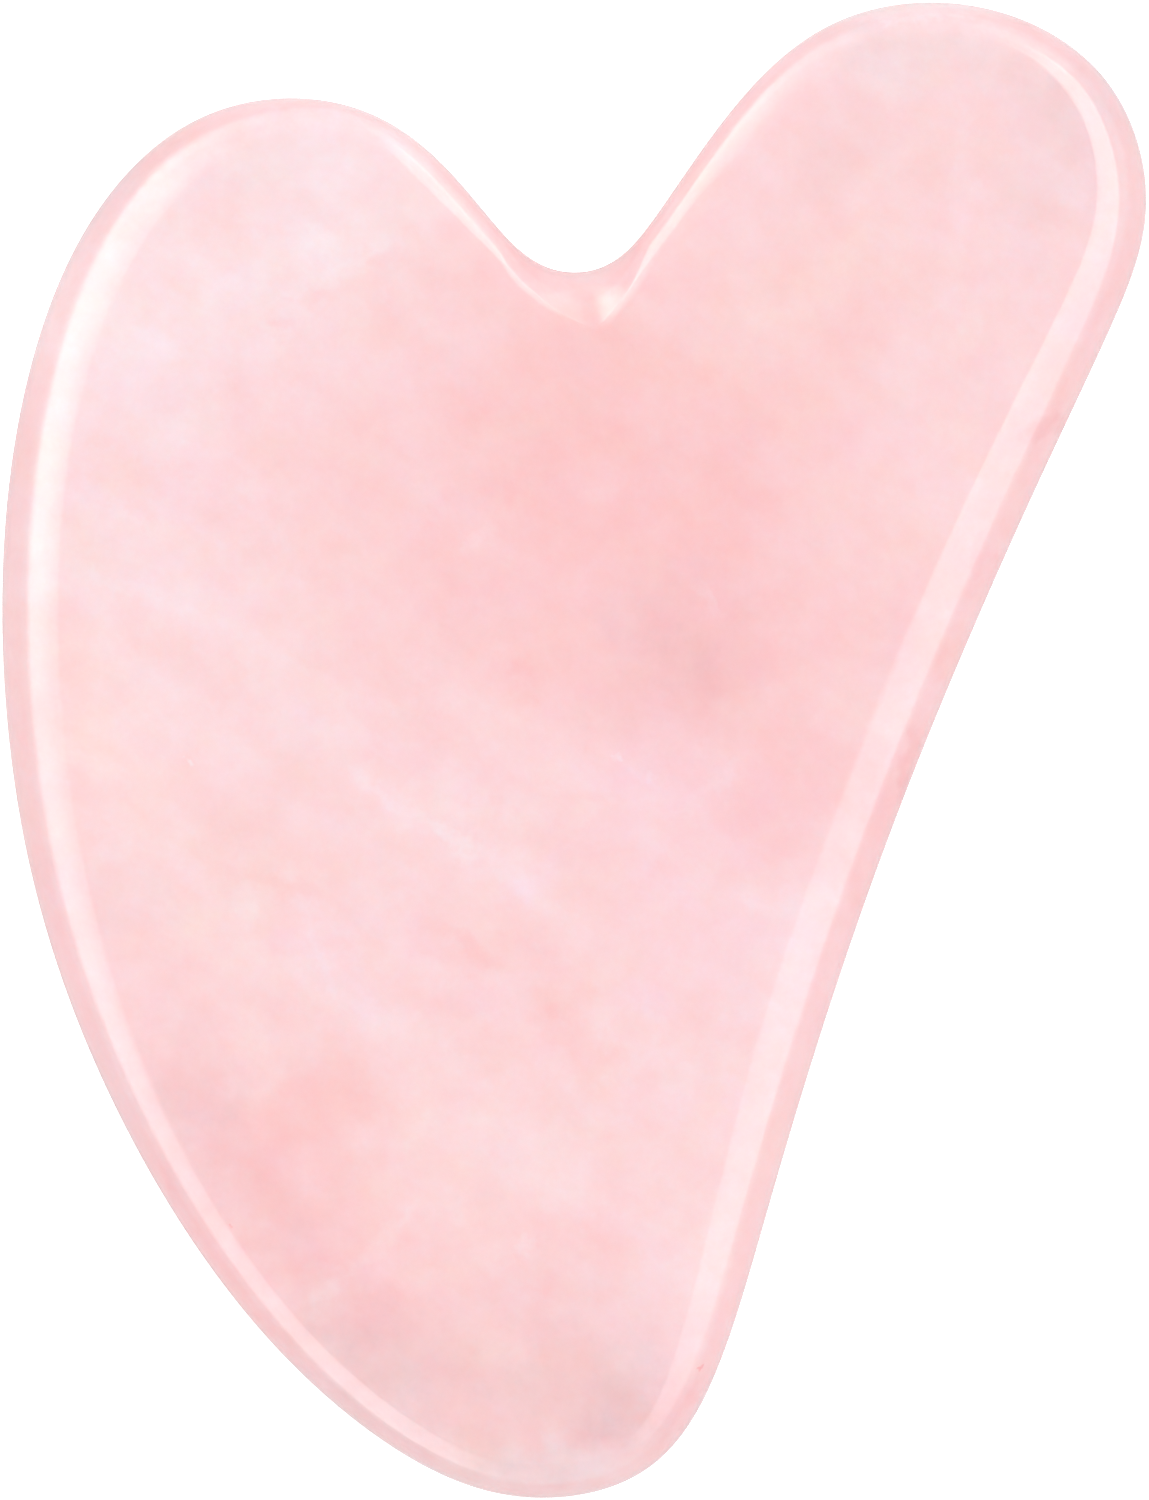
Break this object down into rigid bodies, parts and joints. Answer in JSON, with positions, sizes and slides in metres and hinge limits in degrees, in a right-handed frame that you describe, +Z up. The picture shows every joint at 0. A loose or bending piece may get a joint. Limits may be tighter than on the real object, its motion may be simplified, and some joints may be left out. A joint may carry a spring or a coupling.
{
  "type": "gua sha scraper",
  "caption": "Flat heart-shaped massage stone of polished pink quartz, with two lobes, a notch between them, a narrow tip and a rounded rim.",
  "frame": {"origin": "on the back face's plane, in the middle of the rectangle that the plate covers", "axes": "+Z up through the thickness, out of the front face; +Y from the narrow tip towards the two lobes; +X towards the larger lobe"},
  "size_m": [0.0612, 0.08, 0.006],
  "materials": {
    "stone": "polished"
  },
  "bodies": {
    "root": {"stone_plate": "stone"}
  },
  "joints": []
}
